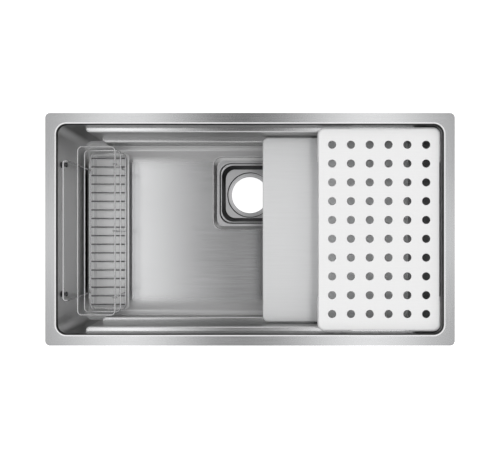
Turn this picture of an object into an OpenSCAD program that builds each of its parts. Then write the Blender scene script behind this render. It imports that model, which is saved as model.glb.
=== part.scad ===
// Two-tier workstation kitchen sink with a hanging basket, a cover plate and a perforated drainer.
// The origin is the centre of the rim at the height of its top face. +X is right, +Y is the rear.
// All sizes are in millimetres.

/* [Rim] */
// Overall length of the rim, left to right
rim_length = 850; // [760:10:1000]
// Overall width of the rim, front to back
rim_width = 483; // [463:1:560]
// Corner radius of the rim
rim_corner = 10; // [4:1:20]
// Width of the rim all round the bowl
rim_flange = 24; // [22:1:32]
// Inner radius of the bend from the rim into the bowl
rim_bend = 4; // [3:0.5:6]
// Thickness of the bowl's steel sheet
sheet = 1.5; // [1:0.1:2]

/* [Bowl] */
// Depth from the rim to the bowl's floor
bowl_depth = 230; // [220:1:260]
// Corner radius of the bowl seen from above
bowl_corner = 20; // [16:1:28]
// Radius between the walls and the floor
floor_bend = 12; // [8:0.5:14]

/* [Ledges] */
// Depth of the upper ledge below the rim
upper_ledge_depth = 23; // [21:1:27]
// Width of the upper ledge
upper_ledge_width = 12; // [11:0.5:16]
// Distance from the end wall to the end of the upper ledge
upper_ledge_gap = 54; // [40:1:64]
// Depth of the lower ledge below the rim
lower_ledge_depth = 86; // [76:1:88]
// Width of the lower ledge
lower_ledge_width = 12; // [11:0.5:16]
// Height of the pressed rail that carries the lower ledge
lower_rail_height = 11; // [9:0.5:14]
// Distance from the end wall to the end of the lower ledge
lower_ledge_gap = 74; // [68:1:90]
// Radius of the ledge ends seen from above
ledge_corner = 8; // [5:0.5:9]
// Radius along the front edge of each ledge
ledge_bend = 3; // [2.5:0.5:4]

/* [Drain sump] */
// Side of the square sump at the bowl's floor
sump_side = 175; // [170:1:186]
// Radius of the bend from the floor down into the sump
sump_bend = 3; // [2:0.5:3.5]
// Corner radius of the sump at the floor
sump_corner = 20; // [14:1:26]
// Distance from the bowl's middle back to the sump's middle
sump_rear = 91; // [70:1:95]
// Drop from the floor to the step in the sump
sump_step_drop = 7; // [5:0.5:10]
// How far the first slope runs inwards
sump_step_run = 7; // [4:0.5:8]
// Side of the step's inner edge
sump_inner_side = 149; // [146:1:152]
// Corner radius of the step's inner edge
sump_inner_corner = 28; // [20:1:34]
// Drop from the step to the narrow shoulder below it
sump_shoulder_drop = 3; // [2:0.5:4]
// How far the short slope between them runs inwards
sump_shoulder_run = 3; // [2:0.5:4]
// Side of the shoulder's inner edge
sump_shoulder_side = 138; // [134:1:139]
// Drop from the shoulder to the pan
sump_pan_drop = 12; // [8:1:18]
// Side of the flat pan
sump_pan_side = 120; // [117:1:126]
// Distance from the sump's middle forward to the drain hole
drain_offset = 3; // [0:0.5:4]
// Diameter of the round seat for the waste flange
drain_seat_d = 112; // [106:1:113]
// Depth of that seat below the pan
drain_seat_depth = 3; // [2:0.5:4]
// Diameter of the drain hole
drain_hole_d = 89; // [85:0.5:92]

/* [Perforated drainer] */
// Length of the drainer, left to right
drainer_length = 253; // [242:1:270]
// Gap between the drainer and the bowl's front and rear walls
drainer_gap = 6; // [4.5:0.5:6.5]
// Gap between the drainer and the bowl's right wall
drainer_end_gap = 4; // [3:0.5:20]
// Height of the drainer over its ledge
drainer_height = 11; // [9:0.5:13]
// Corner radius of the drainer
drainer_corner = 13; // [10:1:18]
// Diameter of the drain holes
hole_d = 17; // [10:0.5:22]
// Distance between hole centres
hole_pitch = 39.4; // [34:0.2:40]
// Number of holes from left to right
hole_columns = 6; // [4:1:6]
// Number of holes from front to rear
hole_rows = 10; // [6:1:10]
// Length of each arm of the corner pads
pad_arm = 70; // [62:1:80]
// Thickness of the corner pads outside the drainer
pad_wall = 2; // [1.5:0.1:2.5]

/* [Cover plate] */
// Length of the cover plate, left to right
cover_length = 320; // [280:5:340]
// Gap between the cover plate and the walls over the lower ledge
cover_gap = 3; // [2.5:0.5:4]
// Place of the cover plate's right edge, measured back from the right wall
cover_end_gap = 53; // [50:1:70]
// Height of the cover plate over its ledge
cover_height = 11; // [9:0.5:13]
// Corner radius of the cover plate
cover_corner = 12; // [8:1:16]
// Length of each foot under the cover plate
foot_length = 40; // [20:5:60]

/* [Plates] */
// Thickness of the sheet of both plates
plate_sheet = 1.2; // [1:0.1:1.5]
// Outer radius of the folded edge of both plates
plate_bend = 2.5; // [2:0.1:3]
// Height of rubber under the folded edges
pad_foot = 2.7; // [2:0.1:3.5]

/* [Hanging basket] */
// Diameter of the basket's ring wire
ring_wire = 3.5; // [3:0.1:4]
// Diameter of the hanger's wire
hanger_wire = 4; // [3.5:0.1:4]
// Diameter of the floor wires
floor_wire = 3; // [2:0.1:3]
// Width of the basket between the middles of its long wires
basket_width = 83; // [70:1:84]
// Length of the basket between the middles of its short wires
basket_length = 373; // [360:1:376]
// Corner radius of the rings at the middle of the wire
ring_corner = 9; // [6:0.5:12]
// Depth of the top ring below the rim
top_ring_depth = 90; // [88:1:95]
// Room between the bottom ring and the bowl's floor
basket_room = 24; // [23:1:30]
// Distance from the left wall to the middle of the rings' left wires
basket_wall_gap = 18.5; // [18:0.5:22]
// Distance that the basket hangs forward of the middle
basket_forward = 2.5; // [0:0.5:4]
// Number of floor wires
floor_wires_count = 18; // [14:2:18]
// Distance between floor wires
floor_wire_pitch = 20.7; // [18:0.1:20.8]
// Room between a stud's head and the hanger's leg beside it
stud_room = 1; // [0.5:0.1:2]
// Bend radius of the hanger at the middle of the wire
hanger_bend = 4.5; // [4.2:0.1:4.7]

/* [Drip tray] */
// Width of the tray over its lips
tray_width = 90.5; // [88:0.5:92]
// Length of the tray over its lips
tray_length = 376; // [360:1:378]
// Width of the tray's flat lips
tray_lip = 7; // [5:0.5:9]
// Depth of the tray
tray_depth = 9; // [6:0.5:12]
// Thickness of the tray's sheet
tray_sheet = 0.8; // [0.6:0.1:1]
// Corner radius of the tray's lips
tray_corner = 10; // [8:0.5:14]
// Distance that the tray sits to the right of the basket's middle
tray_shift = 4.5; // [0:0.5:5]

/* [Wall studs] */
// Half the distance between the two studs
stud_spread = 137; // [120:1:140]
// Depth of the studs' axis below the rim
stud_depth = 32; // [31:0.5:34]
// Diameter of the stud's neck, which carries the hanger
stud_neck_d = 7; // [6:0.5:7]
// Length of the neck
stud_neck = 8.5; // [8.4:0.1:8.8]
// Diameter of the stud's head
stud_head_d = 10; // [9:0.5:10]
// Thickness of the stud's head
stud_head = 4; // [3:0.5:4]
// Diameter of the threaded shank through the wall
stud_shank_d = 5; // [4:0.5:5]

/* [Fixings] */
// Thickness of the foam strips under the rim
seal_height = 2; // [1.5:0.5:3]
// Width of the foam strips
seal_width = 8; // [6:0.5:9]
// Thickness of the worktop that the clips are set to
worktop = 38; // [30:1:40]
// Thickness of the clip rails and clips
clip_sheet = 1.2; // [1:0.1:1.5]
// Width of each clip
clip_width = 16; // [12:1:20]
// Diameter of the clip screws
clip_screw_d = 5; // [4:0.5:5]
// Thickness of the damping pads
damper = 3; // [2:0.5:4]

/* [Hidden] */
$fn = 48;

// Gap that stands for a weld or a light contact
weld = 0.15;
// Gap between a resting piece and its seat
rest_gap = 0.3;
// Overlap that keeps cuts from ending on a face
over = 1;

// Half sizes of the bowl's opening and of the two narrower tiers below it
in_x = rim_length / 2 - rim_flange;
in_y = rim_width / 2 - rim_flange;
upper_x = in_x - upper_ledge_gap;
upper_y = in_y - upper_ledge_width;
lower_x = in_x - lower_ledge_gap;
lower_y = upper_y - lower_ledge_width;
lower_rail_low = -lower_ledge_depth - lower_rail_height;

// Heights in the sump
floor_under = -bowl_depth - sheet;
sump_top = -bowl_depth - sump_bend;
step_z = -bowl_depth - sump_step_drop;
shoulder_z = step_z - sump_shoulder_drop;
pan_z = shoulder_z - sump_pan_drop;
seat_z = pan_z - drain_seat_depth;

// Basket places
basket_left = -in_x + basket_wall_gap;
basket_mid = basket_left + basket_width / 2;
basket_half = basket_length / 2;
ring_step = (bowl_depth - basket_room - top_ring_depth) / 2;
bottom_ring_depth = bowl_depth - basket_room;
floor_wire_z = -bottom_ring_depth - (ring_wire + floor_wire) / 2 - weld;
hanger_x = basket_left - (ring_wire + hanger_wire) / 2 - weld;
rail_x = hanger_x - 2 * hanger_bend;
rail_z = -stud_depth + (stud_neck_d + hanger_wire) / 2 + weld;
upright_spread = stud_spread + (stud_head_d + hanger_wire) / 2 + basket_forward + stud_room;
tray_top = floor_wire_z - floor_wire / 2 - weld;

// Studs, from the wall inwards and outwards
seal_disc_d = 13;
seal_disc = 1;
washer_d = 12;
washer_thick = 1;
nut_d = 9.2;
nut_thick = 4;
shank_spare = 2;
shank_clear = 0.2;

// Plates
cover_half = upper_y - cover_gap;
drainer_half = in_y - drainer_gap;
cover_mid = in_x - cover_end_gap - cover_length / 2;
drainer_mid = in_x - drainer_end_gap - drainer_length / 2;
cover_top = -lower_ledge_depth + cover_height;
drainer_top = -upper_ledge_depth + drainer_height;

// Clip rails and clips
rail_top = -5;
rail_height = 16;
rail_depth = 6;
rail_upstand = 7;
long_rail = 560;
short_rail = 200;
clip_reach = 21.5;
clip_drop = 20;
screw_foot_d = 8;
screw_foot = 2;
screw_head_d = 9;
screw_head = 3.5;
screw_place = 17;
long_clips = [-220, 0, 220];
short_clips = [-70, 70];

// Rounded rectangle from its half sizes, made of squares and circles
module rounded(half_x, half_y, radius) {
    square([2 * (half_x - radius), 2 * half_y], center = true);
    square([2 * half_x, 2 * (half_y - radius)], center = true);
    for (sx = [-1, 1], sy = [-1, 1])
        translate([sx * (half_x - radius), sy * (half_y - radius)]) circle(r = radius);
}

module slab(half_x, half_y, radius, low, high) {
    translate([0, 0, low]) linear_extrude(high - low) rounded(half_x, half_y, radius);
}

// Both mirror images across the bowl's length, its width, or both
module both_ends() {
    for (s = [0, 1]) mirror([s, 0, 0]) children();
}

module both_sides() {
    for (s = [0, 1]) mirror([0, s, 0]) children();
}

module four_corners() {
    both_ends() both_sides() children();
}

// A profile drawn across Y and up Z, run along X from one place to another
module along_x(from, to) {
    translate([from, 0, 0]) rotate([90, 0, 90]) linear_extrude(to - from) children();
}

// A profile drawn across X and up Z, run along Y from one place to another
module along_y(from, to) {
    translate([0, to, 0]) rotate([90, 0, 0]) linear_extrude(to - from) children();
}

// A profile whose x is measured from the corner's centre, swept round a rounded rectangle
module frame_sweep(half_x, half_y, radius) {
    cx = half_x - radius;
    cy = half_y - radius;
    four_corners() translate([cx, cy, 0]) rotate_extrude(angle = 90) children();
    both_ends() translate([cx, 0, 0]) along_y(-cy, cy) children();
    both_sides() translate([0, cy, 0]) along_x(-cx, cx) children();
}

// Trough section with rounded feet, its floor at height 0
module trough(half, height, radius) {
    translate([-half, radius]) square([2 * half, height - radius]);
    translate([radius - half, 0]) square([2 * (half - radius), height]);
    for (s = [-1, 1]) translate([s * (half - radius), radius]) circle(r = radius);
}

// The same section with one foot only, on the right
module half_trough(from, to, height, radius) {
    translate([from, radius]) square([to - from, height - radius]);
    translate([from, 0]) square([to - radius - from, height]);
    translate([to - radius, radius]) circle(r = radius);
}

// What is cut from a square edge to round it, the edge at the origin and the solid at -x, -y
module edge_cut(radius) {
    difference() {
        translate([-radius, -radius]) square(radius + over);
        translate([-radius, -radius]) circle(r = radius);
    }
}

// Rounding of one ledge's free edges and end corners. The ledge ends at edge_x and edge_y, and
// what stands under it reaches down to low_z.
module ledge_rounding(edge_x, edge_y, back_y, top_z, low_z, grow) {
    corner = ledge_corner - grow;
    bend = ledge_bend - grow;
    cx = edge_x - ledge_corner;
    cy = edge_y + ledge_corner;
    four_corners() {
        translate([cx + corner, cy - corner, low_z]) linear_extrude(top_z + over - low_z)
            mirror([0, 1]) edge_cut(corner);
        translate([cx, cy, 0]) rotate([0, 0, -90]) rotate_extrude(angle = 90)
            translate([corner, top_z - grow]) edge_cut(bend);
        translate([cx + corner, 0, top_z - grow]) along_y(cy, back_y) edge_cut(bend);
    }
    both_sides() translate([0, cy - corner, top_z - grow]) along_x(-cx, cx)
        mirror([1, 0]) edge_cut(bend);
}

// Rail pressed in from the long walls under the lower ledge, or with grow the groove behind it
module lower_rails(grow) {
    depth = upper_y + 2 * sheet - lower_y;
    both_sides() translate([grow - lower_x, lower_y + grow, lower_rail_low + grow])
        cube([2 * (lower_x - grow), depth, lower_rail_height - 2 * grow]);
}

// The hollow of the bowl above its floor, without the rails and the roundings of the ledges.
// The hollow ends above the rim, and the outside of the sheet inside the rim's own sheet.
module plain_hollow(grow) {
    top = grow == 0 ? over : -sheet / 2;
    height = bowl_depth + grow + top;
    foot = floor_bend + grow;
    cx = in_x - bowl_corner;
    cy = in_y - bowl_corner;
    translate([0, 0, -bowl_depth - grow]) {
        along_x(-cx, cx) trough(upper_y + grow, height, foot);
        both_ends() {
            along_x(upper_x - grow, cx) trough(in_y + grow, height, foot);
            along_y(-cy, cy) half_trough(upper_x - grow, in_x + grow, height, foot);
        }
        four_corners() translate([cx, cy, 0]) rotate_extrude() intersection() {
            trough(bowl_corner + grow, height, foot);
            square([in_x, height]);
        }
    }
    translate([-cx, -in_y - grow, -upper_ledge_depth - grow])
        cube([2 * cx, 2 * (in_y + grow), upper_ledge_depth + grow + top]);
}

// The whole hollow of the bowl, or with grow the outside of its sheet
module hollow(grow) {
    difference() {
        plain_hollow(grow);
        lower_rails(grow);
    }
    ledge_rounding(upper_x, upper_y, in_y, -upper_ledge_depth, -bowl_depth - grow, grow);
    ledge_rounding(lower_x, lower_y, upper_y, -lower_ledge_depth, lower_rail_low + grow, grow);
}

// Sheet under a bend that turns down at x = corner, the flat above it at height 0
module bend_fill(corner, radius) {
    difference() {
        translate([corner, -radius]) square(radius);
        translate([corner + radius, -radius]) circle(r = radius - sheet);
    }
}

// What is cut away above the same bend
module bend_cut(corner, radius) {
    difference() {
        translate([corner - over, -radius]) square(radius + over);
        translate([corner + radius, -radius]) circle(r = radius);
    }
}

// Pressed bowl: rim, walls, two ledges on each side, and a floor bent down into the sump
module bowl() {
    sump_half = sump_side / 2;
    color("silver") difference() {
        union() {
            hollow(sheet);
            slab(rim_length / 2, rim_width / 2, rim_corner, -sheet, 0);
            frame_sweep(in_x, in_y, bowl_corner) bend_fill(bowl_corner, rim_bend);
            translate([0, sump_rear, -bowl_depth])
                frame_sweep(sump_half, sump_half, sump_corner) bend_fill(sump_corner, sump_bend);
        }
        hollow(0);
        frame_sweep(in_x, in_y, bowl_corner) bend_cut(bowl_corner, rim_bend);
        translate([0, sump_rear, -bowl_depth]) {
            frame_sweep(sump_half, sump_half, sump_corner) bend_cut(sump_corner, sump_bend);
            slab(sump_half, sump_half, sump_corner, -sump_bend - over, over);
        }
        for (s = [-1, 1]) translate([-in_x, s * stud_spread, -stud_depth]) rotate([0, 90, 0])
            cylinder(h = 2 * bowl_corner, d = stud_shank_d + shank_clear, center = true);
    }
}

// Straight-sided slope between two rounded squares
module slope(top_half, low_half, corner, top, low) {
    translate([0, 0, top]) mirror([0, 0, 1])
        linear_extrude(top - low, scale = low_half / top_half) rounded(top_half, top_half, corner);
}

// The sump's hollow, or with grow the outside of its sheet
module sump_hollow(grow) {
    first = sump_side / 2 + grow;
    second = sump_inner_side / 2 + grow;
    third = sump_shoulder_side / 2 + grow;
    corner = sump_inner_corner + grow;
    slope(first, first - sump_step_run, sump_corner + grow, sump_top, step_z - grow);
    slope(second, second - sump_shoulder_run, corner, step_z - grow, shoulder_z - grow);
    slope(third, sump_pan_side / 2 + grow, corner, shoulder_z - grow, pan_z - grow);
    translate([0, -drain_offset, seat_z - grow])
        cylinder(h = shoulder_z - seat_z, d = drain_seat_d + 2 * grow);
}

// Square sump welded to the floor's bend, with the round seat and hole for the waste fitting
module drain_sump() {
    color("gainsboro") translate([0, sump_rear, 0]) difference() {
        sump_hollow(sheet);
        sump_hollow(0);
        translate([0, -drain_offset, seat_z - 2 * sheet])
            cylinder(h = drain_seat_depth + 2 * sheet, d = drain_hole_d);
    }
}

// Each of the two places of a stud, with +Z pointing into the bowl
module at_studs() {
    for (s = [-1, 1]) translate([-in_x, s * stud_spread, -stud_depth]) rotate([0, 90, 0])
        children();
}

// Headed studs that carry the basket's hanger
module wall_studs() {
    shank = sheet + washer_thick + nut_thick + shank_spare;
    color("lightgray") at_studs() {
        translate([0, 0, -shank]) cylinder(h = shank + seal_disc, d = stud_shank_d);
        translate([0, 0, seal_disc]) cylinder(h = stud_neck, d = stud_neck_d);
        translate([0, 0, seal_disc + stud_neck]) cylinder(h = stud_head, d = stud_head_d);
    }
}

// Flat ring on a stud's axis
module ring_disc(outside, thick) {
    difference() {
        cylinder(h = thick, d = outside);
        translate([0, 0, -over]) cylinder(h = thick + 2 * over, d = stud_shank_d + shank_clear);
    }
}

module stud_seals() {
    color("dimgray") at_studs() ring_disc(seal_disc_d, seal_disc);
}

module stud_washers() {
    color("silver") at_studs() translate([0, 0, -sheet - washer_thick])
        ring_disc(washer_d, washer_thick);
}

module stud_nuts() {
    color("silver") at_studs() translate([0, 0, -sheet - washer_thick - nut_thick])
        difference() {
            cylinder(h = nut_thick, d = nut_d, $fn = 6);
            translate([0, 0, -over])
                cylinder(h = nut_thick + 2 * over, d = stud_shank_d + shank_clear);
        }
}

// Foam strips that seal the rim to the worktop
module rim_seals() {
    edge = 3;
    long = rim_length - 2 * (rim_corner + edge);
    short = rim_width - 2 * (seal_width + 2 * edge);
    color("dimgray") {
        both_sides() translate([-long / 2, rim_width / 2 - edge - seal_width, -sheet - seal_height])
            cube([long, seal_width, seal_height]);
        both_ends() translate([rim_length / 2 - edge - seal_width, -short / 2, -sheet - seal_height])
            cube([seal_width, short, seal_height]);
    }
}

// Folded rail that the clips hook into, its back face on the wall at x = 0
module clip_rail(length) {
    low = rail_top - rail_height;
    translate([0, -length / 2, 0]) along_y(0, length) {
        translate([0, low]) square([clip_sheet, rail_height]);
        translate([0, low]) square([rail_depth, clip_sheet]);
        translate([rail_depth - clip_sheet, low]) square([clip_sheet, rail_upstand]);
    }
}

// Turns a piece made for the right wall so that it stands on the rear wall
module on_rear_wall() {
    translate([0, in_y + sheet, 0]) rotate([0, 0, 90]) children();
}

module on_right_wall() {
    translate([in_x + sheet, 0, 0]) children();
}

module clip_rail_rear() {
    color("darkgray") on_rear_wall() clip_rail(long_rail);
}

module clip_rail_front() {
    color("darkgray") mirror([0, 1, 0]) on_rear_wall() clip_rail(long_rail);
}

module clip_rail_right() {
    color("darkgray") on_right_wall() clip_rail(short_rail);
}

module clip_rail_left() {
    color("darkgray") mirror([1, 0, 0]) on_right_wall() clip_rail(short_rail);
}

// Each place of a clip along the four rails, as on the right wall
module at_clips() {
    both_sides() on_rear_wall() for (y = long_clips) translate([0, y, 0]) children();
    both_ends() on_right_wall() for (y = short_clips) translate([0, y, 0]) children();
}

// Height of the clip's arm under the worktop
arm_z = -sheet - seal_height - worktop - clip_drop;

// Folded clips that hook over the rails and reach under the worktop
module clips() {
    hook_x = (clip_sheet + rail_depth - 2 * clip_sheet) / 2;
    hook_top = rail_top - rail_height + rail_upstand + rest_gap;
    leg_x = rail_depth + rest_gap;
    hook_drop = rail_upstand - clip_sheet;
    color("darkgray") at_clips() difference() {
        translate([0, -clip_width / 2, 0]) along_y(0, clip_width) {
            translate([hook_x, hook_top - hook_drop]) square([clip_sheet, hook_drop + clip_sheet]);
            translate([hook_x, hook_top]) square([leg_x + clip_sheet - hook_x, clip_sheet]);
            translate([leg_x, arm_z]) square([clip_sheet, hook_top + clip_sheet - arm_z]);
            translate([leg_x, arm_z]) square([clip_reach - leg_x, clip_sheet]);
        }
        translate([screw_place, 0, arm_z - over])
            cylinder(h = clip_sheet + 2 * over, d = clip_screw_d + shank_clear);
    }
}

// Clamping screws with a round foot that presses on the worktop
module clip_screws() {
    top = -sheet - seal_height - worktop - rest_gap;
    low = arm_z - screw_head - 2 * over;
    color("silver") at_clips() translate([screw_place, 0, 0]) {
        translate([0, 0, top - screw_foot]) cylinder(h = screw_foot, d = screw_foot_d);
        translate([0, 0, low]) cylinder(h = top - low, d = clip_screw_d);
        translate([0, 0, low]) cylinder(h = screw_head, d = screw_head_d, $fn = 6);
    }
}

// Damping pads glued outside the bowl
module floor_damper() {
    inner = sump_side / 2 + 4 * damper;
    outer = in_x - bowl_corner - 2 * damper;
    translate([(inner + outer) / 2, 0, 0])
        slab((outer - inner) / 2, lower_y - 2 * bowl_corner, 2 * damper,
            floor_under - damper, floor_under);
}

module floor_damper_left() {
    color("gray") mirror([1, 0, 0]) floor_damper();
}

module floor_damper_right() {
    color("gray") floor_damper();
}

// Upright pad from its half length, made to stand on a wall at x = 0
module wall_damper(half_length) {
    low = -bowl_depth + 2 * bowl_corner;
    high = -lower_ledge_depth - bowl_corner;
    translate([0, 0, (low + high) / 2]) rotate([0, 90, 0])
        slab((high - low) / 2, half_length, 2 * damper, 0, damper);
}

module wall_damper_rear() {
    color("gray") translate([0, upper_y + sheet, 0]) rotate([0, 0, 90])
        wall_damper(lower_x - 4 * bowl_corner);
}

module wall_damper_front() {
    color("gray") mirror([0, 1, 0]) translate([0, upper_y + sheet, 0]) rotate([0, 0, 90])
        wall_damper(lower_x - 4 * bowl_corner);
}

module wall_damper_right() {
    color("gray") on_right_wall() wall_damper(lower_y - 3 * bowl_corner);
}

module wall_damper_left() {
    color("gray") mirror([1, 0, 0]) on_right_wall() wall_damper(lower_y - 3 * bowl_corner);
}

// Moves a piece to the basket's middle
module at_basket() {
    translate([basket_mid, -basket_forward, 0]) children();
}

// One bent wire: a rail behind the studs' heads, and two legs down to the bottom ring
module hanger_frame() {
    radius = hanger_wire / 2;
    leg_low = -bottom_ring_depth - ring_wire / 2;
    color("lightgray") translate([0, -basket_forward, 0]) {
        translate([rail_x, 0, rail_z]) rotate([90, 0, 0])
            cylinder(h = 2 * (upright_spread - hanger_bend), r = radius, center = true);
        both_sides() {
            translate([rail_x + hanger_bend, upright_spread - hanger_bend, rail_z])
                rotate([0, 0, 90]) rotate_extrude(angle = 90)
                    translate([hanger_bend, 0]) circle(r = radius);
            translate([hanger_x - hanger_bend, upright_spread, rail_z - hanger_bend])
                rotate([90, 0, 0]) rotate_extrude(angle = 90)
                    translate([hanger_bend, 0]) circle(r = radius);
            translate([hanger_x, upright_spread, leg_low])
                cylinder(h = rail_z - hanger_bend - leg_low, r = radius);
        }
    }
}

// Closed wire ring of the basket at a given depth
module ring(depth) {
    at_basket() frame_sweep(basket_width / 2, basket_half, ring_corner)
        translate([ring_corner, -depth]) circle(d = ring_wire);
}

module top_ring() {
    color("lightgray") ring(top_ring_depth);
}

module middle_ring() {
    color("lightgray") ring(top_ring_depth + ring_step);
}

module bottom_ring() {
    color("lightgray") ring(bottom_ring_depth);
}

// Cross wires that close the basket's floor
module basket_floor_wires() {
    first = -(floor_wires_count - 1) * floor_wire_pitch / 2;
    length = basket_width + ring_wire;
    color("lightgray") at_basket() for (i = [0 : floor_wires_count - 1])
        translate([0, first + i * floor_wire_pitch, floor_wire_z]) rotate([0, 90, 0])
            cylinder(h = length, d = floor_wire, center = true);
}

// Upright wires inside the right side, hooked over the top ring
module basket_uprights() {
    turn = ring_wire + weld;
    color("lightgray") at_basket() translate([basket_width / 2, 0, -top_ring_depth])
        for (y = [-upright_spread, 0, upright_spread]) translate([0, y, 0]) {
            translate([-turn, 0, -2 * ring_step]) cylinder(h = 2 * ring_step, d = ring_wire);
            rotate([90, 0, 0]) rotate_extrude(angle = 180)
                translate([turn, 0]) circle(d = ring_wire);
        }
}

// Shallow tray under the floor wires
module drip_tray() {
    half_x = tray_width / 2;
    half_y = tray_length / 2;
    wall_x = half_x - tray_lip;
    wall_y = half_y - tray_lip;
    wall_corner = tray_corner - tray_lip / 2;
    color("gainsboro") at_basket() translate([tray_shift, 0, 0]) difference() {
        union() {
            slab(half_x, half_y, tray_corner, tray_top - tray_sheet, tray_top);
            slab(wall_x, wall_y, wall_corner, tray_top - tray_depth, tray_top - tray_sheet / 2);
        }
        slab(wall_x - tray_sheet, wall_y - tray_sheet, wall_corner - tray_sheet,
            tray_top - tray_depth + tray_sheet, tray_top + over);
    }
}

// Section of a plate's folded edge, its outside at x = corner and its top at y = 0
module folded_edge(corner, drop) {
    inner = plate_bend - plate_sheet;
    translate([corner - plate_sheet, -drop]) square([plate_sheet, drop - plate_bend]);
    translate([corner - plate_bend, -plate_bend]) intersection() {
        square(plate_bend);
        difference() {
            circle(r = plate_bend);
            circle(r = inner);
        }
    }
}

// Sheet plate with folded edges all round, its top at height 0
module folded_plate(half_x, half_y, corner, drop) {
    slab(half_x - plate_bend, half_y - plate_bend, corner - plate_bend, -plate_sheet, 0);
    frame_sweep(half_x, half_y, corner) folded_edge(corner, drop);
}

// Plain plate that slides on the lower ledges
module cover_plate() {
    color("silver") translate([cover_mid, 0, cover_top])
        folded_plate(cover_length / 2, cover_half, cover_corner,
            cover_height - pad_foot - rest_gap);
}

// Rubber feet inside the cover plate's long folds
module cover_feet() {
    drop = cover_height - pad_foot - rest_gap;
    wall = 2 * pad_wall;
    start = cover_length / 2 - cover_corner - foot_length;
    color("dimgray") translate([cover_mid, 0, cover_top]) four_corners()
        translate([0, cover_half, -drop]) along_x(start, start + foot_length) {
            translate([-plate_sheet - wall, -pad_foot]) square([plate_sheet + wall, pad_foot]);
            translate([-plate_sheet - wall, -pad_foot]) square([wall, pad_foot + wall]);
        }
}

// Perforated plate that slides on the upper ledges
module drainer_plate() {
    columns = [for (i = [0 : hole_columns - 1]) (i - (hole_columns - 1) / 2) * hole_pitch];
    rows = [for (i = [0 : hole_rows - 1]) (i - (hole_rows - 1) / 2) * hole_pitch];
    color("whitesmoke") translate([drainer_mid, 0, drainer_top]) difference() {
        folded_plate(drainer_length / 2, drainer_half, drainer_corner,
            drainer_height - pad_foot - rest_gap);
        for (x = columns, y = rows) translate([x, y, -plate_sheet - over])
            cylinder(h = plate_sheet + 2 * over, d = hole_d);
    }
}

// Rubber channel gripped on the drainer's fold, round one corner and along both arms
module corner_pad() {
    drop = drainer_height - pad_foot - rest_gap;
    half_x = drainer_length / 2;
    cx = half_x - drainer_corner;
    cy = drainer_half - drainer_corner;
    translate([cx, cy, drainer_top]) {
        rotate_extrude(angle = 90) pad_section(drop);
        translate([0, drainer_corner - pad_arm, 0]) along_y(0, pad_arm - drainer_corner)
            pad_section(drop);
        along_x(drainer_corner - pad_arm, 0) pad_section(drop);
    }
}

// Section of the rubber channel, the fold's outside at x = the drainer's corner radius
module pad_section(drop) {
    outside = drainer_corner + pad_wall;
    inside = drainer_corner - plate_sheet - pad_wall;
    translate([inside, -drop - pad_foot]) square([outside - inside, pad_foot]);
    translate([drainer_corner, -drop - pad_foot])
        square([pad_wall, drop + pad_foot - plate_bend]);
    translate([inside, -drop - pad_foot]) square([pad_wall, pad_foot + drop / 2]);
}

module drainer_pad_rear_right() {
    color("dimgray") translate([drainer_mid, 0, 0]) corner_pad();
}

module drainer_pad_rear_left() {
    color("dimgray") translate([drainer_mid, 0, 0]) mirror([1, 0, 0]) corner_pad();
}

module drainer_pad_front_right() {
    color("dimgray") translate([drainer_mid, 0, 0]) mirror([0, 1, 0]) corner_pad();
}

module drainer_pad_front_left() {
    color("dimgray") translate([drainer_mid, 0, 0]) rotate([0, 0, 180]) corner_pad();
}

bowl();
drain_sump();
wall_studs();
stud_seals();
stud_washers();
stud_nuts();
rim_seals();
clip_rail_rear();
clip_rail_front();
clip_rail_left();
clip_rail_right();
clips();
clip_screws();
floor_damper_left();
floor_damper_right();
wall_damper_rear();
wall_damper_front();
wall_damper_left();
wall_damper_right();
hanger_frame();
top_ring();
middle_ring();
bottom_ring();
basket_floor_wires();
basket_uprights();
drip_tray();
cover_plate();
cover_feet();
drainer_plate();
drainer_pad_rear_left();
drainer_pad_rear_right();
drainer_pad_front_left();
drainer_pad_front_right();
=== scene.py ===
# %% [markdown]
# # A workstation kitchen sink
#
# This lesson dresses a steel kitchen sink: a pressed bowl with two tiers of ledges, a square drain
# sump, a hanging wire basket, a plain cover plate and a perforated drainer. The engineering model
# comes in first as a fixed frame. Everything made here lies in that frame, in metres, with +Z up
# and +X along the sink's length.

# %% Load the frame
import math

import bpy
import bmesh
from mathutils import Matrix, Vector


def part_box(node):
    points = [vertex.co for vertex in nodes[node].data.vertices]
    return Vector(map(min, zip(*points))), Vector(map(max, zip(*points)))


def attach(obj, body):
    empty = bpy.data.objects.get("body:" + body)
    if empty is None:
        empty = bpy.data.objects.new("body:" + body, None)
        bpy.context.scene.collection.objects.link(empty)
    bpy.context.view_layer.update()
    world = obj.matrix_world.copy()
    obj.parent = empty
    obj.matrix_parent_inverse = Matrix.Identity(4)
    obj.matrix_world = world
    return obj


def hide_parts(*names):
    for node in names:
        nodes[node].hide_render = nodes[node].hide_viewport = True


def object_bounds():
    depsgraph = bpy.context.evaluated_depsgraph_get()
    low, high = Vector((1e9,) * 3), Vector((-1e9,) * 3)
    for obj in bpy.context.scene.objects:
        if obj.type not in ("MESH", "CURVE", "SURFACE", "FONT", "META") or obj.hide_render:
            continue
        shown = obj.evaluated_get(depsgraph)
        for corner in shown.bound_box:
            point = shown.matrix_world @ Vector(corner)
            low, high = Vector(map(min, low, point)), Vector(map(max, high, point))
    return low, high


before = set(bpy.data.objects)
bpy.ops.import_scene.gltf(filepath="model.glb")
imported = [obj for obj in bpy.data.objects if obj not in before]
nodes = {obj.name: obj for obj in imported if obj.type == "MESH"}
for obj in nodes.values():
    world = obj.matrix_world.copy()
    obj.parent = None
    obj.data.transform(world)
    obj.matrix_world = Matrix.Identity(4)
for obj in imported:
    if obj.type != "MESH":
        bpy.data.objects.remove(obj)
cad_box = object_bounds()

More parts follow.
